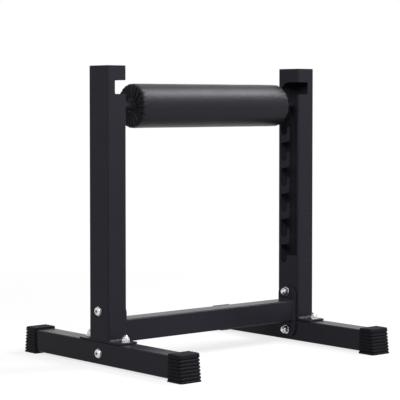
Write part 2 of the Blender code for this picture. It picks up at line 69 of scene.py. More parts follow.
# Angles that tell a facet of a curve from a real edge
FACET_ANGLE = radians(32)
FLAT_ANGLE = radians(0.4)
WELD_DISTANCE = 1e-6

# Radius of the square tubes' corners, and wall and end rounding of the round tubes
SQUARE_TUBE_CORNER = 0.004
ROUND_TUBE_WALL = 0.0025
ROUND_TUBE_EDGE = 0.0005
# Gap between the core tube and the cover round it
CORE_GAP = 0.0003

WHITE = (1, 1, 1)


def setting(kind, **form):
    """Make settings of one form from a name, a description and a default."""
    return lambda name, description, default: kind(
        name=name, description=description, default=default, **form)


Colour = setting(FloatVectorProperty, subtype="COLOR", size=3, min=0, max=1)
Place = setting(FloatVectorProperty, subtype="XYZ", unit="LENGTH", size=3)
Length = setting(FloatProperty, unit="LENGTH", min=0, precision=5)
Share = setting(FloatProperty, subtype="FACTOR", min=0, max=1)
Power = setting(FloatProperty, unit="POWER", min=0)
Angle = setting(FloatProperty, subtype="ANGLE")
FocalLength = setting(FloatProperty, subtype="DISTANCE_CAMERA", min=1)
Number = setting(FloatProperty)
Count = setting(IntProperty, min=1)


class FinishSettings(PropertyGroup):
    """Colours and gloss of the stand's finishes."""

    steel_colour: Colour("Powder coat", "Colour of the coated steel", (0.0173, 0.0165, 0.0219))
    steel_roughness: Share("Coat roughness", "How matt the powder coat is", 0.27)
    steel_gloss: Share("Coat gloss", "How much light the powder coat mirrors", 0.06)
    steel_peel: Length("Orange peel", "Height of the powder coat's fine ripple", 0.00005)
    # Lighter than the coat outside: a thinner coat, and painted light for the light that reaches into the
    # posts
    inside_colour: Colour("Inside", "Colour of the thin coat inside the posts", (0.030, 0.031, 0.037))
    zinc_colour: Colour("Zinc", "Colour of the plated fasteners", (0.74, 0.74, 0.74))
    zinc_cloud: Colour("Zinc clouds", "Colour of the plating's cool clouds", (0.52, 0.54, 0.58))
    # Painted shade down in the threads and sockets
    zinc_recess: Colour("Zinc recesses", "Colour down in threads and sockets", (0.13, 0.13, 0.135))
    zinc_roughness: Share("Zinc roughness", "How dull the plating is", 0.18)
    rubber_colour: Colour("Rubber", "Colour of the foot caps", (0.0086, 0.0084, 0.0108))
    rubber_roughness: Share("Rubber roughness", "How matt the foot caps are", 0.44)
    plastic_colour: Colour("Plastic", "Colour of the plugs and the core tube", (0.009, 0.009, 0.011))
    plastic_roughness: Share("Plastic roughness", "How matt the mouldings are", 0.5)
    leather_colour: Colour("Leather", "Colour of the pad's cover", (0.0128, 0.0121, 0.0173))
    leather_roughness: Share("Leather roughness", "How dull the cover is", 0.31)
    leather_grain: Length("Grain size", "Width of one pebble of the cover's grain", 0.0012)
    leather_relief: Length("Grain relief", "Height of the cover's grain", 0.00008)
    leather_drape: Length("Drape", "Height of the cover's faint puckers", 0.00045)
    foam_colour: Colour("Foam", "Colour of the foam under the cover", (0.10, 0.10, 0.10))


class EdgeSettings(PropertyGroup):
    """Small roundings and welds of the steel pieces."""

    tube_edge: Length("Tube edges", "Rounding of sawn and cut tube edges under the coat", 0.0003)
    post_wall: Length("Post wall", "Thickness of the posts' walls", 0.002)
    plate_edge: Length("Plate edges", "Rounding of plate edges under the coat", 0.0005)
    plug_edge: Length("Plug edges", "Rounding of the post plugs' edges", 0.0006)
    post_bead: Length("Post weld", "Leg of the weld at a post's foot", 0.0038)
    flange_bead: Length("Crossbar weld", "Leg of the weld round the crossbar's ends", 0.003)
    bead_ripple: Length("Weld ripple", "Distance between two ripples of a weld", 0.0022)


class CapSettings(PropertyGroup):
    """Shape of the rubber foot caps."""

    lips: Count("Lips", "Lips stacked up a cap's sides", 8)
    lip_depth: Length("Lip depth", "Depth of the grooves between the lips", 0.0020)
    ribs: Count("Top ribs", "Ribs across a cap's top", 4)
    rib_height: Length("Rib height", "Height of the ribs on a cap's top", 0.0019)
    corner: Length("Toe corners", "Radius of a cap's two toe corners", 0.006)


class FastenerSettings(PropertyGroup):
    """Details of the screws, washers and nuts."""

    shank: Length("Shank", "Outer diameter of the thread", 0.010)
    pitch: Length("Pitch", "Distance between two turns of the thread", 0.0015)
    thread_depth: Length("Thread depth", "Depth of the thread", 0.0008)
    thread_length: Length("Thread length", "Longest stretch of thread on a screw", 0.022)
    side_head: Length("Side head", "Height of the heads on the posts and rails", 0.0055)
    side_rim: Length("Side rim", "How far the side heads reach out over their washers", 0.0009)
    side_crown: Share("Side crown", "How much narrower a side head is at its top", 0.56)
    floor_head: Length("Floor head", "Height of the heads under the rails", 0.0037)
    floor_crown: Share("Floor crown", "How much narrower a head under a rail is at its top", 0.42)
    socket_flats: Length("Socket", "Width of a screw's hexagon socket", 0.0062)
    socket_depth: Length("Socket depth", "Depth of a screw's hexagon socket", 0.0034)
    nut_height: Length("Nut height", "Height of a nut's hexagon", 0.0065)
    collar: Length("Collar", "Diameter of a nut's locking collar", 0.0148)


class PadSettings(PropertyGroup):
    """Shape of the roller's cover."""

    pleats: Count("Pleats", "Folds drawn in at each end", 22)
    pleat_depth: Length("Pleat depth", "Depth of the folds near the core", 0.0026)
    rim_depth: Length("Rim fold", "Depth of the folds where they start at the rim", 0.0017)
    left_shoulder: Length("Left shoulder", "Rounding of the cover at its left end", 0.0065)
    right_shoulder: Length("Right shoulder", "Rounding of the cover at its right end", 0.012)
    hem: Length("Hem", "Thickness of the gathered hem round the core", 0.0032)
    dish: Length("Dish", "How far an end sinks towards the core", 0.0022)
    thickness: Length("Cover", "Thickness of the cover", 0.0013)
    slack: Length("Slack", "Height of the slow waves in the cover", 0.00022)


class StageSettings(PropertyGroup):
    """Camera, lamps and floor."""

    lens: FocalLength("Lens", "Focal length on a 36 mm sensor", 141.93)
    camera_place: Place("Camera", "Where the camera stands", (-2.3799, -2.7650, 0.5817))
    yaw: Angle("Yaw", "How far the camera looks to the right of +Y", radians(40.4827))
    pitch: Angle("Pitch", "How far the camera looks down", radians(2.3922))
    shift: Number("Shift", "Upward shift of the picture", -0.08)
    key_power: Power("Key lamp", "Power of the soft lamp above on the right", 140)
    left_power: Power("Left lamp", "Power of the soft lamp above on the left", 24)
    front_power: Power("Front lamp", "Power of the soft lamp above in front", 17)
    ambient: Share("Ambient", "Strength of the light from all round", 0.26)
    bounce: Share("Bounce", "How much light the floor throws back", 0.25)
    floor_colour: Colour("Floor", "Colour of the floor", (0.9, 0.9, 0.9))
    shadow: Share("Shadow", "How much of the shadow the floor shows", 0.22)


class Wire:
    """A shader socket. Arithmetic on it adds Math nodes."""

    def __init__(self, wiring, socket):
        self.wiring, self.socket = wiring, socket

    def __add__(self, other):
        return self.wiring.maths("ADD", self, other)

    def __sub__(self, other):
        return self.wiring.maths("SUBTRACT", self, other)

    def __rsub__(self, other):
        return self.wiring.maths("SUBTRACT", other, self)

    def __mul__(self, other):
        return self.wiring.maths("MULTIPLY", self, other)

    __radd__ = __add__
    __rmul__ = __mul__


class Wiring:
    """A node tree whose nodes are all added by one method."""

    def __init__(self, tree):
        self.tree = tree

    def socket(self, sockets, key):
        """Find a socket by its number or its name."""
        if isinstance(key, int):
            return sockets[key]
        return next(found for found in sockets if found.enabled and found.name == key)

    def node(self, kind, inputs=None, output=0, **settings):
        """Add a node, set it up, feed it, and return one of its outputs."""
        made = self.tree.nodes.new(kind)
        for key, value in settings.items():
            if key == "stops":
                self.set_stops(made.color_ramp.elements, value)
            else:
                setattr(made, key, value)
        self.feed(made, inputs or {})
        return Wire(self, self.socket(made.outputs, output)) if made.outputs else None

    def set_stops(self, elements, stops):
        """Give a ramp its stops, as (place, grey)."""
        while len(elements) < len(stops):
            elements.new(1.0)
        for element, (place, grey) in zip(elements, stops):
            element.position = place
            element.color = (grey, grey, grey, 1.0)

    def feed(self, made, inputs):
        """Link or set a node's inputs."""
        for key, value in inputs.items():
            socket = self.socket(made.inputs, key)
            if isinstance(value, Wire):
                self.tree.links.new(value.socket, socket)
            elif hasattr(value, "__len__") and len(value) == 3 and len(socket.default_value) == 4:
                socket.default_value = (*value, 1.0)
            else:
                socket.default_value = value

    def maths(self, operation, first, second):
        """Work on two values with a Math node."""
        return self.node("ShaderNodeMath", {0: first, 1: second}, operation=operation)

    def mix(self, factor, first, second, kind="RGBA"):
        """Mix two colours or two vectors."""
        inputs = {"Factor": factor, "A": first, "B": second}
        return self.node("ShaderNodeMix", inputs, "Result", data_type=kind)

    def shades(self, factor, colour, dark, light=1.0):
        """Mix a colour's darker shade with its lighter one."""
        return self.mix(factor, shade(colour, dark), shade(colour, light))

    def ramp(self, value, stops):
        """Reshape a value through a ramp."""
        return self.node("ShaderNodeValToRGB", {"Fac": value}, "Color", stops=stops)

    def background(self, kind, strength):
        """A white background or glow."""
        return self.node(kind, {"Color": WHITE, "Strength": strength})

    def seen(self):
        """1 for a ray that shows the background straight, mirrored or through something."""
        rays = [self.node("ShaderNodeLightPath", output=f"Is {kind} Ray")
                for kind in ("Camera", "Glossy", "Transmission")]
        return self.maths("MINIMUM", rays[0] + rays[1] + rays[2], 1.0)


class Finish(Wiring):
    """A material under construction, around its Principled shader."""

    def __init__(self, name, **values):
        self.material = bpy.data.materials.new(name)
        self.material.use_nodes = True
        super().__init__(self.material.node_tree)
        self.shader = self.tree.nodes["Principled BSDF"]
        self.place = self.node("ShaderNodeTexCoord", output="Object")
        self.feed(self.shader, {key.replace("_", " "): value for key, value in values.items()})

    def noise(self, size, detail=2, output=0):
        """Cloudy noise with blots of about a size."""
        inputs = {"Vector": self.place, "Scale": 1 / size, "Detail": detail}
        return self.node("ShaderNodeTexNoise", inputs, output)

    def cells(self, feature, size, place=None, **inputs):
        """Distance to the middles or edges of random cells."""
        inputs.update({"Vector": place or self.place, "Scale": 1 / size})
        return self.node("ShaderNodeTexVoronoi", inputs, "Distance", feature=feature)

    def attribute(self, name):
        """Read a mark that the mesh carries on its faces or points."""
        return self.node("ShaderNodeAttribute", output="Fac", attribute_name=name)

    def complete(self, colour, roughness, height, distance):
        """Feed the shader, raise the surface by a height from 0 to 1 times a distance, and hand it over."""
        relief = {"Height": height, "Distance": distance, "Strength": 1.0}
        self.feed(self.shader, {"Base Color": colour, "Roughness": roughness,
                                "Normal": self.node("ShaderNodeBump", relief, "Normal")})
        return self.material


def shade(colour, factor):
    """A colour times a factor."""
    return tuple(part * factor for part in colour)


def swing(cloud, amount):
    """A change by up to half an amount either way, as a cloud goes from 0 to 1."""
    return (cloud - 0.5) * amount


def powder_coat(look):
    """Satin black powder coat: fine orange peel, faint mottling, and a thinner coat on the edges."""
    made = Finish("powder_coat", Specular_IOR_Level=look.steel_gloss, Specular_Tint=(0.94, 0.925, 1.0))
    mottle = made.noise(size=0.06, detail=3)
    peel = made.noise(size=0.0022)
    speck = made.noise(size=0.0006, detail=1)
    worn = made.attribute("worn_edge")
    patches = made.ramp(made.noise(size=0.012), [(0.35, 0.25), (0.65, 1.0)])
    colour = made.shades(mottle, look.steel_colour, dark=0.88, light=1.14)
    colour = made.mix(worn * patches * 0.4, colour, shade(look.steel_colour, 2.2))
    # Inside the posts the colour is lighter: a thinner coat, and painted light for the light that reaches in
    colour = made.mix(made.attribute("thin_coat"), colour, look.inside_colour)
    colour = made.mix(speck * 0.3, colour, shade(look.steel_colour, 1.5))
    roughness = look.steel_roughness + swing(mottle, 0.10) + swing(speck, 0.12) - worn * 0.07
    return made.complete(colour, roughness, peel * 0.78 + speck * 0.22, look.steel_peel)


def zinc_plate(look):
    """Bright zinc plate on steel: slight clouds, a cool tint in places, fine turning marks, and painted shade
    in threads, sockets and the nuts' hollows.
    """
    made = Finish("zinc_plate", Metallic=1.0)
    cloud = made.noise(size=0.004, detail=4)
    marks = made.noise(size=0.0004)
    recess = made.attribute("recess")
    colour = made.mix(cloud, look.zinc_colour, look.zinc_cloud)
    # Painted shade: threads, sockets and the nuts' hollows are painted darker
    colour = made.mix(recess * 0.9, colour, look.zinc_recess)
    roughness = look.zinc_roughness + swing(cloud, 0.16) + swing(marks, 0.12) + recess * 0.25
    return made.complete(colour, roughness, marks, distance=0.000012)


def moulded_rubber(look):
    """Black rubber: matt, faintly mottled, with a fine sparked grain from the mould."""
    made = Finish("moulded_rubber", Specular_IOR_Level=0.035)
    bloom = made.noise(size=0.010, detail=3)
    grain = made.noise(size=0.0005)
    colour = made.shades(bloom, look.rubber_colour, dark=0.8, light=1.5)
    roughness = look.rubber_roughness + swing(bloom, 0.14) + swing(grain, 0.10)
    return made.complete(colour, roughness, grain, distance=0.00004)


def moulded_plastic(look):
    """Black polymer: half matt with a fine even grain."""
    made = Finish("moulded_plastic", Specular_IOR_Level=0.2)
    grain = made.noise(size=0.0004, detail=1)
    colour = made.shades(made.noise(size=0.015), look.plastic_colour, dark=0.9, light=1.2)
    roughness = look.plastic_roughness + swing(grain, 0.16)
    return made.complete(colour, roughness, grain, distance=0.00002)


def grained_leather(look):
    """Black leather-look vinyl: pebbled grain with darker grooves, painted shade in the pleats' creases and
    on the gathered ends, and a soft uneven gloss.
    """
    made = Finish("grained_leather", Specular_IOR_Level=0.135, Specular_Tint=(0.96, 0.95, 1.0))
    pebble_size = look.leather_grain
    drift = made.noise(size=pebble_size / 0.4, output="Color")
    bent = made.mix(0.0011, made.place, drift, kind="VECTOR")
    pebble = made.cells("SMOOTH_F1", pebble_size, bent, Smoothness=0.35)
    groove = made.ramp(made.cells("DISTANCE_TO_EDGE", pebble_size, bent), [(0.0, 0.0), (0.16, 1.0)])
    cloud = made.noise(size=0.035, detail=3)
    pucker = made.noise(size=0.009)
    recess = made.attribute("recess")
    colour = made.shades(groove, look.leather_colour, dark=0.62)
    colour = made.mix(cloud * 0.4, colour, shade(look.leather_colour, 1.35))
    # Painted shade: the pleats' creases and the gathered ends are painted darker
    colour = made.mix(recess, colour, shade(look.leather_colour, 0.25))
    roughness = look.leather_roughness + swing(cloud, 0.12) + (1 - groove) * 0.12 + recess * 0.35
    grain = (1 - pebble) * 0.5 + groove * 0.5
    height = grain * (look.leather_relief / look.leather_drape) + pucker
    return made.complete(colour, roughness, height, look.leather_drape)


def open_foam(look):
    """Grey open-cell foam."""
    made = Finish("open_foam", Specular_IOR_Level=0.2)
    pores = made.ramp(made.cells("F1", size=1 / 900), [(0.1, 0.0), (0.5, 1.0)])
    colour = made.shades(pores, look.foam_colour, dark=0.45)
    return made.complete(colour, 0.92 + pores * 0.06, pores, distance=0.0004)


def material_of(finish):
    """A finish's material, made the first time that it is asked for."""
    return bpy.data.materials.get(finish.__name__) or finish(bpy.context.scene.stand_finish)


def add_object(name, data):
    """Add an object to the scene."""
    made = bpy.data.objects.new(name, data)
    bpy.context.scene.collection.objects.link(made)
    return made


def mesh_object(name, mesh):
    """Make a bmesh an object of the scene."""
    data = bpy.data.meshes.new(name)
    mesh.to_mesh(data)
    mesh.free()
    return add_object(name, data)


def smooth(piece, crease):
    """Shade a piece smooth, apart from its edges past an angle in degrees."""
    piece.data.shade_smooth()
    piece.data.set_sharp_from_angle(angle=radians(crease))


def add_piece(name, mesh, finish, body, nodes=(), crease=40):
    """Make a bmesh a finished piece that rides on a body and stands for CAD nodes."""
    piece = mesh_object(name, mesh)
    piece.data.materials.append(material_of(finish))
    smooth(piece, crease)
    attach(piece, body)
    if nodes:
        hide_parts(*nodes)
    return piece


def settle(piece):
    """Apply a piece's modifiers to its mesh."""
    bpy.context.view_layer.update()
    worked = bpy.context.evaluated_depsgraph_get()
    done = bpy.data.meshes.new_from_object(piece.evaluated_get(worked), preserve_all_data_layers=True,
                                           depsgraph=worked)
    old = piece.data
    piece.modifiers.clear()
    piece.data = done
    done.name = piece.name
    bpy.data.meshes.remove(old)


def softened(node, edge):
    """A merged copy of a CAD node whose sharp edges are rounded and marked as worn."""
    mesh = bmesh.new()
    mesh.from_mesh(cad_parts[node].data)
    bmesh.ops.remove_doubles(mesh, verts=mesh.verts, dist=WELD_DISTANCE)
    bmesh.ops.dissolve_limit(mesh, angle_limit=FLAT_ANGLE, verts=mesh.verts, edges=mesh.edges)
    sharp = [line for line in mesh.edges if line.is_manifold and line.calc_face_angle() > FACET_ANGLE]
    worn = mesh.faces.layers.float.new("worn_edge")
    rounded = bmesh.ops.bevel(mesh, geom=sharp, offset=edge, offset_type="OFFSET", segments=3, profile=0.5,
                              affect="EDGES", clamp_overlap=True, material=-1)
    for face in rounded["faces"]:
        face[worn] = 1.0
    return mesh


def mark_inside(mesh, wall):
    """Mark the faces inside an upright tube, where the coat is thin and painted lighter as painted light
    reaching in, and where no edge is worn.
    """
    thin_and_lit = mesh.faces.layers.float.new("thin_coat")
    worn = mesh.faces.layers.float["worn_edge"]
    # A little less than a wall, so that the flat inner walls lie past the limit
    limit = wall * 0.98
    low = [min(vert.co[axis] for vert in mesh.verts) + limit for axis in (0, 1)]
    high = [max(vert.co[axis] for vert in mesh.verts) - limit for axis in (0, 1)]
    for face in mesh.faces:
        middle = face.calc_center_median()
        if all(low[axis] < middle[axis] < high[axis] for axis in (0, 1)):
            face[thin_and_lit] = 1.0
            face[worn] = 0.0


def add_softened(node, kind, edge, finish=powder_coat, wall=None):
    """Stand a softened copy in for a CAD node of the frame."""
    mesh = softened(node, edge)
    if wall:
        mark_inside(mesh, wall)
    piece = add_piece(f"{node}_{kind}", mesh, finish, "frame", [node], crease=50)
    flats = piece.modifiers.new("even_flats", "WEIGHTED_NORMAL")
    flats.keep_sharp = True
    flats.weight = 100
    settle(piece)


def extrude_loop(mesh, loop):
    """Extrude a loop of edges and return the new edges and vertices."""
    made = bmesh.ops.extrude_edge_only(mesh, edges=loop)["geom"]
    verts = [part for part in made if isinstance(part, bmesh.types.BMVert)]
    fresh = set(verts)
    edges = [part for part in made if isinstance(part, bmesh.types.BMEdge) and fresh.issuperset(part.verts)]
    return edges, verts


def close_ends(mesh, ends, ring_shaped):
    """Join a tube's ends to each other where they meet, or close each with a flat face."""
    if ring_shaped:
        bmesh.ops.remove_doubles(mesh, verts=mesh.verts, dist=WELD_DISTANCE)
    else:
        for edges in ends:
            bmesh.ops.contextual_create(mesh, geom=edges)
    bmesh.ops.recalc_face_normals(mesh, faces=mesh.faces)
    return mesh


def at_angle(value, angle):
    """A number, or a function of the angle at that angle."""
    return value(angle) if callable(value) else value


def lathed(rings, steps, ring_shaped=False):
    """Raise a circle through rings given as (height, radius); each is a number or a function of the angle.

    A third value is painted shade: how far a ring lies in a recess or crease, kept as a mark that darkens its
    colour. A ring-shaped solid comes back to its first ring.
    Any other is closed by a flat face at both ends.
    """
    mesh = bmesh.new()
    # Painted shade: a mark that darkens rings lying in recesses and creases
    recess = mesh.verts.layers.float.new("recess")
    verts = bmesh.ops.create_circle(mesh, segments=steps, radius=1.0)["verts"]
    first = loop = list(mesh.edges)
    for number, (height, radius, *depth) in enumerate(rings):
        if number:
            loop, verts = extrude_loop(mesh, loop)
        for vert in verts:
            angle = atan2(vert.co.y, vert.co.x)
            reach = at_angle(radius, angle)
            vert.co = (reach * cos(angle), reach * sin(angle), at_angle(height, angle))
            vert[recess] = at_angle(depth[0], angle) if depth else 0.0
    return close_ends(mesh, (first, loop), ring_shaped)


def swept(section, frames, ring_shaped=False):
    """Carry a closed section through a row of placing matrices."""
    mesh = bmesh.new()
    verts = [mesh.verts.new(frames[0] @ Vector(point)) for point in section]
    first = loop = [mesh.edges.new(pair) for pair in zip(verts, verts[1:] + verts[:1])]
    for before, after in zip(frames, frames[1:]):
        loop, verts = extrude_loop(mesh, loop)
        bmesh.ops.transform(mesh, matrix=after @ before.inverted(), verts=verts)
    return close_ends(mesh, (first, loop), ring_shaped)


def placed(place, scale=(1, 1, 1)):
    """A matrix that scales and then moves."""
    return Matrix.Translation(place) @ Matrix.Diagonal((*scale, 1))


def arc(start, sweep, steps):
    """Angles in even steps from a start through a sweep in degrees."""
    return [radians(start + sweep * k / steps) for k in range(steps + 1)]


def rounded_corners(corners, radius, steps):
    """Points of rounded corners, given as (centre, centre, first angle in degrees)."""
    return [(x + radius * cos(angle), y + radius * sin(angle))
            for x, y, start in corners for angle in arc(start, 90, steps)]


Box = namedtuple("Box", "low high middle size")


def node_box(node):
    """A CAD node's lowest corner, highest corner, middle and size."""
    low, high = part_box(node)
    return Box(low, high, (low + high) / 2, high - low)


def add_turned(node, name, finish, body, outward, shape, *sizes, crease=40):
    """Turn a shape to its CAD node's length and radius and stand it in the node's place, pointing outward."""
    box = node_box(node)
    length = abs(box.size.dot(outward))
    radius = min(box.size[axis] for axis in range(3) if not outward[axis]) / 2
    mesh = shape(length, radius, *sizes)
    turn = UPWARDS.rotation_difference(outward).to_matrix().to_4x4()
    spot = placed(box.middle - outward * length / 2) @ turn
    bmesh.ops.transform(mesh, matrix=spot, verts=mesh.verts)
    return add_piece(name, mesh, finish, body, [node], crease)


class StandSteel(Operator):
    """Coat the crossbar, the posts, the foot rails, the base plates and the flanges."""

    bl_idname = "stand.steel"
    bl_label = "Tubes and plates"

    def execute(self, context):
        sizes = context.scene.stand_edges
        for node in ("left_post", "right_post"):
            add_softened(node, "tube", sizes.tube_edge, wall=sizes.post_wall)
        for node in ("left_foot_rail", "right_foot_rail", "crossbar"):
            add_softened(node, "tube", sizes.tube_edge)
        for node in ("left_base_plate", "left_crossbar_flange", "right_base_plate", "right_crossbar_flange"):
            add_softened(node, "steel", sizes.plate_edge)
        return {"FINISHED"}


class StandWelds(Operator):
    """Lay the welds at the posts' feet and round the crossbar's ends."""

    bl_idname = "stand.welds"
    bl_label = "Welds"

    # As shares of a bead's leg: how far its face is drawn in, and its size at its two ends
    hollow_face = 0.22
    end_size = 0.45
    # Steps in a bead's outline and in one ripple
    outline_steps = 6
    ripple_steps = 6
    # A bead's size between its ripples, the ripples' height, and a slower wave's height and rate
    lowest, ripple_rise, drift, drift_rate = 0.93, 0.07, 0.035, 210

    def execute(self, context):
        sizes = context.scene.stand_edges
        for side, sign in SIDES:
            post = node_box(side + "_post")
            plate_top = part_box(side + "_base_plate")[1].z
            for end, toward in ENDS:
                face = post.low.y if toward < 0 else post.high.y
                mesh = self.straight(post.low.x, post.high.x, face, toward, plate_top, sizes)
                add_piece(f"{side}_{end}_post_weld", mesh, powder_coat, "frame")
            mesh = self.round_crossbar(side, sign, sizes)
            add_piece(f"{side}_crossbar_weld", mesh, powder_coat, "frame")
        return {"FINISHED"}

    def outline(self, leg):
        """Outline of a weld in a right-angled corner: two legs and its face."""
        points = [(0, 0, 0)]
        for angle in arc(0, 90, self.outline_steps):
            reach = leg * (1 - self.hollow_face * sin(2 * angle))
            points.append((0, reach * cos(angle), reach * sin(angle)))
        return points

    def ripple(self, along, pitch):
        """Size of a weld along its length: overlapping scales, slightly uneven."""
        scale = sin(pi * (along / pitch % 1)) ** 0.5
        return self.lowest + self.ripple_rise * scale + self.drift * sin(along * self.drift_rate)

    def straight(self, start, stop, face, toward, floor, sizes):
        """A weld along X between a plate and a tube's front or back face."""
        steps = round((stop - start) / sizes.bead_ripple * self.ripple_steps)
        frames = []
        for k in range(steps + 1):
            along = start + (stop - start) * k / steps
            ends = min(along - start, stop - along)
            fade = min(1.0, self.end_size + ends / sizes.post_bead * (1 - self.end_size))
            size = self.ripple(along - start, sizes.bead_ripple) * fade
            frames.append(placed((along, face, floor), (1, toward * size, size)))
        return swept(self.outline(sizes.post_bead), frames)

    def round_crossbar(self, side, sign, sizes):
        """A weld all round the crossbar where it meets a flange."""
        bar = node_box("crossbar")
        flange = node_box(side + "_crossbar_flange")
        wall = flange.low.x if sign > 0 else flange.high.x
        radius = SQUARE_TUBE_CORNER
        half = bar.size.y / 2
        straight = bar.size.y - 2 * radius
        quarter = straight + pi / 2 * radius
        total = 4 * quarter
        steps = round(total / sizes.bead_ripple) * self.ripple_steps
        stand = Matrix(((0, 0, -sign, 0), (1, 0, 0, 0), (0, -1, 0, 0), (0, 0, 0, 1)))
        frames = []
        for k in range(steps + 1):
            along = total * (k % steps) / steps
            corner, rest = divmod(along, quarter)
            if rest < straight:
                local = placed((0, -half + radius + rest, -half))
            else:
                bend = Matrix.Rotation((rest - straight) / radius, 4, "X")
                local = placed((0, half - radius, -half + radius)) @ bend @ placed((0, 0, -radius))
            size = self.ripple(along, sizes.bead_ripple)
            quarter_turns = Matrix.Rotation(pi / 2 * corner, 4, "X")
            frames.append(placed((wall, bar.middle.y, bar.middle.z)) @ quarter_turns @ local @ stand
                          @ placed((0, 0, 0), (1, size, size)))
        return swept(self.outline(sizes.flange_bead), frames, True)


class StandPlugs(Operator):
    """Finish the plugs in the tops of the posts."""

    bl_idname = "stand.plugs"
    bl_label = "Post plugs"

    def execute(self, context):
        edge = context.scene.stand_edges.plug_edge
        for side, _ in SIDES:
            add_softened(side + "_post_plug", "moulding", edge, moulded_plastic)
        return {"FINISHED"}


class StandCaps(Operator):
    """Mould the ribbed rubber caps on the ends of the foot rails."""

    bl_idname = "stand.caps"
    bl_label = "Foot caps"

    # Angle in degrees past which an edge of a cap is crisp
    crease = 38
    # How far a cap's mouth and its toe lean inwards from the floor to the top
    mouth_lean, toe_lean = 0.0025, 0.007
    # A lip's outline: share of its height, and share of the groove's depth
    lip_outline = ((0.06, 0.0), (0.22, 0.0), (0.38, 0.1), (0.52, 0.32), (0.66, 0.66), (0.78, 1.0),
                   (0.86, 0.96), (0.92, 0.5), (0.97, 0.12))
    # The rounded lower and upper borders: distance from the border, and inset of the side
    lower_border = ((0.0, 0.0006), (0.0002, 0.0002))
    upper_border = ((0.0012, 0.0), (0.0006, 0.0001), (0.0002, 0.0004), (0.0, 0.0009))
    # Share of the distance between two ribs that a rib takes up
    rib_share = 0.6
    # A rib's steps: rise, width and length, as shares of its height and its strip
    rib_steps = ((0.5, 0.94, 0.997), (0.32, 0.80, 0.99), (0.18, 0.54, 0.975))
    # Gap round the rail in the socket, and how far the cutter reaches past the mouth
    socket_gap, socket_reach = 0.0003, 0.05

    def execute(self, context):
        sizes = context.scene.stand_caps
        for side, _ in SIDES:
            for end, toward in ENDS:
                node = f"{side}_{end}_foot_cap"
                cap = node_box(node)
                mesh = self.outside(cap, toward, sizes)
                self.add_ribs(mesh, cap.high.z, sizes)
                piece = add_piece(node + "_rubber", mesh, moulded_rubber, "frame", [node], self.crease)
                self.hollow(piece, side, toward)
        return {"FINISHED"}

    def outside(self, cap, toward, sizes):
        """The cap's outside: a plan with round toe corners, carried up through the lips."""
        half, length, height = cap.size.x / 2, cap.size.y, cap.size.z
        corner = sizes.corner
        corners = ((half - corner, length - corner, 0), (corner - half, length - corner, 90))
        plan = [(-half, 0), (half, 0), *rounded_corners(corners, corner, 5)]
        frames = []
        for level, inset in self.levels(height, sizes):
            share = level / height
            mouth = self.mouth_lean * share
            toe = length - self.toe_lean * share - inset
            frames.append(placed((0, mouth, level), ((half - inset) / half, (toe - mouth) / length, 1)))
        mesh = swept([(x, y, 0) for x, y in plan], frames)
        mouth_y = cap.low.y if toward > 0 else cap.high.y
        spot = placed((cap.middle.x, mouth_y, 0), (1, toward, 1))
        bmesh.ops.transform(mesh, matrix=spot, verts=mesh.verts)
        if toward < 0:
            bmesh.ops.reverse_faces(mesh, faces=mesh.faces)
        return mesh

    def levels(self, height, sizes):
        """Heights up a cap's side, each with how far the side is drawn in there."""
        step = height / sizes.lips
        lips = [((k + share) * step, depth * sizes.lip_depth)
                for k in range(sizes.lips) for share, depth in self.lip_outline]
        return [*self.lower_border, *(level for level in lips if level[0] <= height - step / 2),
                *((height - below, inset) for below, inset in self.upper_border)]

    def add_ribs(self, mesh, top, sizes):
        """Raise round ribs over the whole width of a cap's top, from its mouth to its toe."""
        def top_faces():
            """The faces of the cap's flat top."""
            return [face for face in mesh.faces
                    if face.normal.z > 0.99 and face.calc_center_median().z > top - WELD_DISTANCE * 10]

        lines = [vert.co.y for face in top_faces() for vert in face.verts]
        near, far = min(lines), max(lines)
        pitch = (far - near) / (sizes.ribs - 1 + self.rib_share)
        for k in range(sizes.ribs - 1):
            for share in (self.rib_share, 1):
                parts = [part for face in top_faces() for part in (face, *face.edges, *face.verts)]
                bmesh.ops.bisect_plane(mesh, geom=list(dict.fromkeys(parts)), plane_no=(0, 1, 0),
                                       plane_co=(0, near + pitch * (k + share), 0))
        middles = [near + pitch * (k + self.rib_share / 2) for k in range(sizes.ribs)]
        for face in top_faces():
            place = face.calc_center_bounds()
            middle = min(middles, key=lambda spot: abs(spot - place.y))
            if abs(place.y - middle) < pitch * 0.1:
                self.raise_rib(mesh, face, Vector((place.x, middle, top)), sizes.rib_height)

    def raise_rib(self, mesh, face, middle, height):
        """Grow one rib with a round back from its strip of the top."""
        faces = [face]
        width, length = 1.0, 1.0
        for rise, across, along in self.rib_steps:
            made = bmesh.ops.extrude_face_region(mesh, geom=faces)["geom"]
            bmesh.ops.delete(mesh, geom=faces, context="FACES_ONLY")
            faces = [part for part in made if isinstance(part, bmesh.types.BMFace)]
            verts = [part for part in made if isinstance(part, bmesh.types.BMVert)]
            bmesh.ops.translate(mesh, verts=verts, vec=(0, 0, rise * height))
            bmesh.ops.scale(mesh, verts=verts, vec=(along / length, across / width, 1),
                            space=Matrix.Translation(-middle))
            width, length = across, along

    def hollow(self, piece, side, toward):
        """Cut the socket for the rail's end out of a cap."""
        rail = node_box(side + "_foot_rail")
        radius = SQUARE_TUBE_CORNER + self.socket_gap
        inner = rail.size.x / 2 + self.socket_gap - radius
        corners = ((inner, inner, 0), (-inner, inner, 90), (-inner, -inner, 180), (inner, -inner, 270))
        section = [(x, 0, z) for x, z in rounded_corners(corners, radius, 4)]
        tip = rail.high.y if toward > 0 else rail.low.y
        frames = [placed((rail.middle.x, tip + toward * distance, rail.middle.z))
                  for distance in (self.socket_gap, -self.socket_reach)]
        cutter = mesh_object("socket", swept(section, frames))
        cut = piece.modifiers.new("socket", "BOOLEAN")
        cut.operation = "DIFFERENCE"
        cut.solver = "EXACT"
        cut.object = cutter
        settle(piece)
        bpy.data.meshes.remove(cutter.data)
        smooth(piece, self.crease)


def hexagon(flats):
    """Radius of a hexagon with a corner at angle zero, as a function of the angle."""
    return lambda angle: flats / 2 / cos(angle % (pi / 3) - pi / 6)


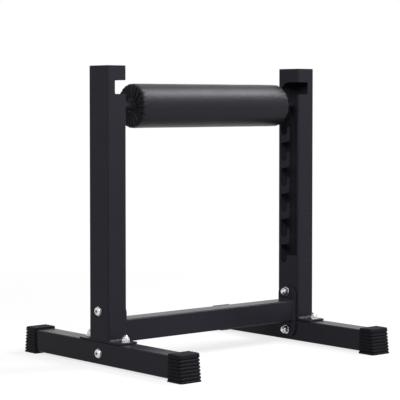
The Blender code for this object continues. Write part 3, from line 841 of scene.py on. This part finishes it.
def screw_mesh(length, radius, sizes, head_height, rim, crown):
    """A socket screw from its tip at zero to its head's top; length counts the head too.

    The head reaches a rim's width past the radius and is narrower by a share, its crown, at its top.
    """
    outer = sizes.shank / 2
    seat = length - head_height
    chamfer = sizes.pitch * 0.7
    threaded = min(sizes.thread_length, seat * 0.6)
    # How steep the thread's flanks are, and how many rings each turn has
    steepness = 2.6
    turn_rings = 8

    def groove(height):
        """Depth of the thread from 0 to 1, as a function of the angle."""
        def depth(angle):
            turn = (height / sizes.pitch - angle / (2 * pi)) % 1
            cut = max(0.0, 1 - steepness * abs(turn - 0.5))
            return cut * min(1.0, max(0.0, (threaded - height) / sizes.pitch))
        return depth

    def thread(height):
        """Radius of the thread, as a function of the angle."""
        cut = groove(height)
        return lambda angle: min(outer - cut(angle) * sizes.thread_depth, outer - chamfer + height)

    rings = [(0.0, outer - chamfer * 1.6)]
    steps = round(threaded / sizes.pitch * turn_rings)
    for k in range(steps + 1):
        height = threaded * k / steps
        # The thread's roots are painted darker, as painted shade
        rings.append((height, thread(height), groove(height)))
    # The head's upright side as a share of its height, its edge, and its dome's last angle
    side, edge, steepest = 0.16, 0.0004, 66
    head_radius = radius + rim
    rings += [(seat, outer), (seat, head_radius - edge), (seat + 0.0003, head_radius)]
    for angle in arc(8, steepest - 8, 8):
        rise = side + (1 - side) * sin(angle) / sin(radians(steepest))
        narrowing = crown * (1 - cos(angle)) / (1 - cos(radians(steepest)))
        rings.append((seat + head_height * rise, head_radius * (1 - narrowing)))
    flats = sizes.socket_flats
    countersink = flats / 2 / cos(pi / 6) * 1.14
    deep = min(sizes.socket_depth, head_height * 0.72)
    # The socket is painted darker towards its bottom, as painted shade
    rings += [(length, countersink), (length - edge, hexagon(flats), 0.3),
              (length - 2 * edge, hexagon(flats), 0.8), (length - deep, hexagon(flats), 1.0),
              (length - deep - 0.0005, flats * 0.2, 1.0)]
    return lathed(rings, 48)


def washer_mesh(thickness, radius, sizes):
    """A pressed washer: rounded on one face, crisp on the other."""
    bore = sizes.shank / 2 + 0.0005
    crisp, soft = 0.0002, thickness * 0.22
    rings = [(0, bore), (0, radius - crisp), (crisp, radius), (thickness - soft, radius),
             (thickness - soft * 0.3, radius - soft * 0.3), (thickness, radius - soft),
             (thickness, bore + soft * 0.5), (thickness - soft * 0.5, bore), (0, bore)]
    return lathed(rings, 64, True)


def nut_mesh(total, radius, sizes):
    """A hexagon nut with turned-down corners and a domed locking collar; the radius is half its flats."""
    corner = hexagon(radius * 2)
    face = radius * 0.985
    slope = tan(radians(28))

    def turned(level, sense):
        """Height where a hexagon's side meets the turned-down corner."""
        return lambda angle: level + sense * slope * max(0.0, corner(angle) - face)

    bore = sizes.shank / 2 + 0.0003
    collar = sizes.collar / 2
    height = sizes.nut_height
    entry, root, dome = 0.0006, 0.0004, 0.0013
    # The third values are painted shade: the bottom face, the collar's root and the bore are painted darker
    rings = [(0.0, bore + entry), (0.0, face, 0.9), (turned(0.0, 1), corner, 0.25),
             (turned(height, -1), corner), (height, face, 0.3), (height, collar + root, 0.9),
             (height + root, collar, 0.5), (total - dome, collar)]
    for angle in arc(0, 90, 5)[1:]:
        rings.append((total - dome + dome * sin(angle), collar - dome * (1 - cos(angle))))
    rings += [(total, bore + 0.0007), (total - 0.0005, bore + 0.0003, 0.8), (total - 0.0012, bore, 1.0),
              (entry, bore, 1.0), (0.0, bore + entry)]
    return lathed(rings, 48, True)


class StandFasteners(Operator):
    """Turn the screws, washers and nuts."""

    bl_idname = "stand.fasteners"
    bl_label = "Fasteners"

    def execute(self, context):
        sizes = context.scene.stand_fasteners
        side_head = (sizes.side_head, sizes.side_rim, sizes.side_crown)
        floor_head = (sizes.floor_head, 0.0, sizes.floor_crown)

        def add(node, outward, *shape):
            """Turn one fastener."""
            add_turned(node, node + "_steel", zinc_plate, "frame", outward, *shape, crease=35)

        for side, sign in SIDES:
            outward = TOWARDS_RIGHT * sign
            for name in (side + "_upper", side + "_lower"):
                add(name + "_bolt", outward, screw_mesh, sizes, *side_head)
                add(name + "_head_washer", outward, washer_mesh, sizes)
                add(name + "_nut_washer", -outward, washer_mesh, sizes)
                add(name + "_nut", -outward, nut_mesh, sizes)
            for name in (side + "_front_plate", side + "_rear_plate"):
                add(name + "_bolt", -UPWARDS, screw_mesh, sizes, *floor_head)
                add(name + "_washer", UPWARDS, washer_mesh, sizes)
                add(name + "_nut", UPWARDS, nut_mesh, sizes)
        return {"FINISHED"}


def round_tube(length, radius):
    """A tube with rounded ends, rising from zero."""
    edge = ROUND_TUBE_EDGE
    bore = radius - ROUND_TUBE_WALL
    rings = [(0, bore + edge), (0, radius - edge), (edge * 0.3, radius - edge * 0.3), (edge, radius),
             (length / 3, radius), (length * 2 / 3, radius), (length - edge, radius),
             (length - edge * 0.3, radius - edge * 0.3), (length, radius - edge), (length, bore + edge),
             (length - edge, bore), (edge, bore), (0, bore + edge)]
    return lathed(rings, 64, True)


class StandBar(Operator):
    """Turn the roller bar and the plugs in its ends."""

    bl_idname = "stand.bar"
    bl_label = "Roller bar"

    # A plug's head, the rounding of its edge, and the inset of its skirt
    head, rounding, skirt_inset = 0.002, 0.0008, 0.0022

    def execute(self, context):
        add_turned("roller_bar", "roller_bar_tube", powder_coat, "bar", TOWARDS_RIGHT, round_tube)
        for side, sign in SIDES:
            node = side + "_bar_plug"
            add_turned(node, node + "_moulding", moulded_plastic, "bar", TOWARDS_RIGHT * sign, self.plug)
        return {"FINISHED"}

    def plug(self, length, radius):
        """A plug from its skirt's end to its head's top."""
        skirt = radius - self.skirt_inset
        rings = [(0, skirt - 0.002), (0, skirt - 0.0004), (0.0006, skirt), (length - self.head, skirt),
                 (length - self.head, radius)]
        for angle in arc(0, 90, 5):
            rings.append((length - self.rounding * (1 - sin(angle)),
                          radius - self.rounding * (1 - cos(angle))))
        rings.append((length, radius * 0.4))
        return lathed(rings, 48)


def wave(angle, height, count, phase=0.0):
    """Height of a wave that runs a number of times round the roller."""
    return height * sin(count * angle + phase)


class StandPad(Operator):
    """Build the padded roller: core tube, foam and gathered cover."""

    bl_idname = "stand.pad"
    bl_label = "Roller pad"

    # Points to a pleat, rings along the barrel, and steps of the hem, ends and shoulders
    pleat_points, barrel_rings, hem_steps, end_steps, shoulder_steps = 16, 90, 4, 16, 9
    # Distance over which the folds run out into the barrel
    fold_fade = 0.005
    # How far the folds lean near the core, and the radius where they start to
    lean, lean_radius = 0.16, 0.045

    def execute(self, context):
        pad = context.scene.stand_pad
        core = node_box("roller_core").size.z / 2

        def add(node, name, finish, *shape, **crease):
            """Turn one piece of the roller."""
            return add_turned(node, name, finish, "roller", TOWARDS_RIGHT, *shape, **crease)

        add("roller_core", "roller_core_tube", moulded_plastic, round_tube)
        foam = add("roller_foam", "roller_foam_pad", open_foam, self.foam, core)
        cover = add("roller_cover", "roller_leather_cover", grained_leather, self.cover, core, pad, crease=70)
        return {"FINISHED"}

    def foam(self, length, radius, core_radius):
        """The foam's ring round the core, with rounded rims."""
        bore = core_radius + 0.0004
        rim, turn = 0.006, 0.002
        rings = [(0, bore), (0, radius - rim), (turn, radius - turn), (rim, radius), (length - rim, radius),
                 (length - turn, radius - turn), (length, radius - rim), (length, bore), (0, bore)]
        return lathed(rings, 96, True)

    def cover(self, length, radius, core_radius, pad):
        """The cover's skin: two gathered ends, a taut barrel, and a lining."""
        inner = core_radius + CORE_GAP
        start, stop = pad.left_shoulder, length - pad.right_shoulder
        left = self.end_profile(radius, inner, pad.left_shoulder, pad)
        right = self.end_profile(radius, inner, pad.right_shoulder, pad)
        outside = [(*spot, -1) for spot in left]
        for k in range(1, self.barrel_rings):
            # The rings lie closer together towards the ends
            share = k / self.barrel_rings
            mixed = 0.5 * (share + 0.5 - 0.5 * cos(pi * share))
            along = start + (stop - start) * mixed
            near = min(along - start, stop - along)
            fold = pad.rim_depth * 0.55 * exp(-near / self.fold_fade)
            outside.append((along, radius, 1.0, fold, -1 if along < length / 2 else 1))
        outside += [(length - depth, *rest, 1) for depth, *rest in reversed(right)]
        rings = [self.ring(*spot, pad) for spot in outside]
        lining = radius - pad.thickness
        inset = pad.dish + pad.pleat_depth + 0.0016
        rings += [(length - inset, inner), (length - inset, lining - 0.012), (length - inset - 0.010, lining),
                  (inset + 0.008, lining), (inset, lining - 0.008), (inset, inner), rings[0]]
        return lathed(rings, pad.pleats * self.pleat_points, True)

    def end_profile(self, radius, inner, shoulder, pad):
        """One end from the core to the barrel: (depth from the end plane, radius, tilt, fold depth)."""
        rim = radius - shoulder
        hem, rim_fold, core_fold = pad.hem, pad.rim_depth, pad.pleat_depth
        profile = [(pad.dish - hem * 0.35 * sin(angle), inner + hem / 2 * (1 - cos(angle)),
                    0.0, core_fold * 0.3) for angle in arc(0, 180, self.hem_steps)]
        for k in range(1, self.end_steps + 1):
            share = k / self.end_steps
            reach = inner + hem + (rim - inner - hem) * share
            fold = rim_fold + (core_fold - rim_fold) * (1 - share) ** 1.2
            profile.append((pad.dish * (1 - share) ** 1.7, reach, 0.0, fold))
        for k, angle in enumerate(arc(0, 90, self.shoulder_steps)[1:], 1):
            tilt = k / self.shoulder_steps
            profile.append((shoulder * (1 - cos(angle)), rim + shoulder * sin(angle), tilt,
                            rim_fold * (1 - 0.45 * tilt)))
        return profile

    def ring(self, along, reach, tilt, fold, sign, pad):
        """A profile's point as a ring whose height, radius and painted shade follow the folds."""
        lean = sign * self.lean * (1 - min(1.0, reach / self.lean_radius))

        def valley(angle):
            """How deep the folds are at an angle, from 0 on a ridge to 1 in a crease."""
            sway = wave(angle, 0.055, 3, 1.3 * sign) + wave(angle, 0.03, 7, 0.4)
            phase = (angle + lean + sway) * pad.pleats / 2
            main = (1 - abs(sin(phase))) ** 1.25
            small = (1 - abs(sin(phase * 2 + 0.7))) ** 2 * 0.28
            return (main + small) * (0.85 + wave(angle, 0.28, 5, 2.0 + sign) + wave(angle, 0.12, 11))

        def slack(angle):
            """Slow waves of the taut skin."""
            spot = Vector((along * 22, cos(angle) * 1.5, sin(angle) * 1.5))
            return pad.slack * noise.noise(spot) * tilt

        sideways = sin(tilt * pi / 2)
        endways = cos(tilt * pi / 2)
        shadow = min(1.0, fold / pad.rim_depth)
        # Painted shade: an end's face at least half dark, the folds' creases fully dark, fading along the
        # barrel with the folds
        return (lambda angle: along - sign * fold * valley(angle) * endways,
                lambda angle: reach - fold * valley(angle) * sideways + slack(angle),
                lambda angle: min(1.0, 0.5 * endways + valley(angle)) * shadow)


class StandStage(Operator):
    """Set up the camera, the lamps, the white surroundings and the floor."""

    bl_idname = "stand.stage"
    bl_label = "Stage"

    # Each lamp's name, its place, the point that it looks at, and its two sides
    lamps = (("key", (2.35, -0.80, 3.15), (0, 0, 0.57), (1.7, 1.6)),
             ("left", (-1.05, -1.15, 1.45), (-0.25, 0, 0.45), (0.9, 0.9)),
             ("front", (0.35, -1.3, 1.6), (0.15, 0, 0.45), (0.9, 0.9)))
    floor_radius = 14
    # Distances from the middle between which the floor's shadow fades out
    shadow_start, shadow_end = 0.6, 2.2

    def execute(self, context):
        stage = context.scene.stand_stage
        self.camera(context.scene, stage)
        for name, place, target, sides in self.lamps:
            power = getattr(stage, name + "_power")
            self.lamp(name + "_lamp", Vector(place), Vector(target), sides, power)
        self.surroundings(context.scene, stage)
        self.floor(stage)
        context.scene.view_settings.view_transform = "Standard"
        return {"FINISHED"}

    def camera(self, scene, stage):
        """The camera at the photograph's viewing angle."""
        data = bpy.data.cameras.new("photo_camera")
        data.sensor_width = 36
        data.lens = stage.lens
        data.shift_y = stage.shift
        data.clip_start = 0.1
        data.clip_end = 60
        camera = add_object("photo_camera", data)
        camera.location = stage.camera_place
        camera.rotation_euler = (radians(90) - stage.pitch, 0, -stage.yaw)
        scene.camera = camera

    def lamp(self, name, place, target, sides, power):
        """A soft rectangular lamp that looks at a point."""
        data = bpy.data.lights.new(name, "AREA")
        data.shape = "RECTANGLE"
        data.size, data.size_y = sides
        data.energy = power
        lamp = add_object(name, data)
        lamp.location = place
        lamp.rotation_euler = (target - place).to_track_quat("-Z", "Y").to_euler()

    def surroundings(self, scene, stage):
        """Soft light from all round, which looks white behind the stand and in its reflections."""
        world = bpy.data.worlds.new("white_surroundings")
        world.use_nodes = True
        scene.world = world
        wiring = Wiring(world.node_tree)
        wiring.tree.nodes.clear()
        soft = wiring.background("ShaderNodeBackground", stage.ambient)
        white = wiring.background("ShaderNodeBackground", 1.0)
        mixed = wiring.node("ShaderNodeMixShader", {0: wiring.seen(), 1: soft, 2: white})
        wiring.node("ShaderNodeOutputWorld", {"Surface": mixed})

    def floor(self, stage):
        """A pale floor that keeps a part of the stand's shadow and fades into the white surroundings."""
        mesh = bmesh.new()
        bmesh.ops.create_circle(mesh, cap_ends=True, segments=96, radius=self.floor_radius)
        floor = mesh_object("studio_floor", mesh)
        made = Finish("studio_floor", Specular_IOR_Level=0.1)
        grain = made.noise(size=0.02)
        colour = made.shades(grain, stage.floor_colour, dark=0.985, light=1.015)
        made.feed(made.shader, {"Base Color": colour, "Roughness": 0.9 + swing(grain, 0.05)})
        away = made.node("ShaderNodeVectorMath", {0: made.place}, "Value", operation="LENGTH")
        span = {"Value": away, "From Min": self.shadow_start, "From Max": self.shadow_end,
                "To Min": 1 - stage.shadow}
        fade = made.node("ShaderNodeMapRange", span, "Result", interpolation_type="SMOOTHSTEP")
        white = made.background("ShaderNodeEmission", 1.0)
        dull = made.node("ShaderNodeBsdfDiffuse", {"Color": (stage.bounce,) * 3})
        lit = made.node("ShaderNodeMixShader", {0: fade, 1: Wire(made, made.shader.outputs[0]), 2: white})
        mixed = made.node("ShaderNodeMixShader", {0: made.seen(), 1: dull, 2: lit})
        output = next(node for node in made.tree.nodes if node.type == "OUTPUT_MATERIAL")
        made.feed(output, {"Surface": mixed})
        floor.data.materials.append(made.material)


OPERATORS = (StandStage, StandSteel, StandWelds, StandPlugs, StandCaps, StandFasteners, StandBar, StandPad)
SETTINGS = (("stand_finish", FinishSettings), ("stand_edges", EdgeSettings), ("stand_caps", CapSettings),
            ("stand_fasteners", FastenerSettings), ("stand_pad", PadSettings), ("stand_stage", StageSettings))


class StandPanel(Panel):
    """The stand's pieces and settings in the sidebar."""

    bl_idname = "VIEW3D_PT_squat_stand"
    bl_label = "Squat Stand"
    bl_space_type = "VIEW_3D"
    bl_region_type = "UI"
    bl_category = "Squat Stand"

    def draw(self, context):
        for operator in OPERATORS:
            self.layout.operator(operator.bl_idname)
        for attribute, group in SETTINGS:
            box = self.layout.box()
            for name in group.__annotations__:
                box.prop(getattr(context.scene, attribute), name)


def register():
    """Make the settings, operators and panel known to Blender."""
    for attribute, group in SETTINGS:
        bpy.utils.register_class(group)
        setattr(bpy.types.Scene, attribute, PointerProperty(type=group))
    for made in (*OPERATORS, StandPanel):
        bpy.utils.register_class(made)


def unregister():
    """Take them away again."""
    for made in (StandPanel, *reversed(OPERATORS)):
        bpy.utils.unregister_class(made)
    for attribute, group in reversed(SETTINGS):
        delattr(bpy.types.Scene, attribute)
        bpy.utils.unregister_class(group)


def write_sizes():
    """Bring the view layer up to date."""
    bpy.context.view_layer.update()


def main():
    """Build every piece in order."""
    register()
    for operator in OPERATORS:
        group, name = operator.bl_idname.split(".")
        if getattr(getattr(bpy.ops, group), name)() != {"FINISHED"}:
            raise RuntimeError(f"{operator.bl_label} did not finish")
    write_sizes()


if __name__ == "__main__":
    main()
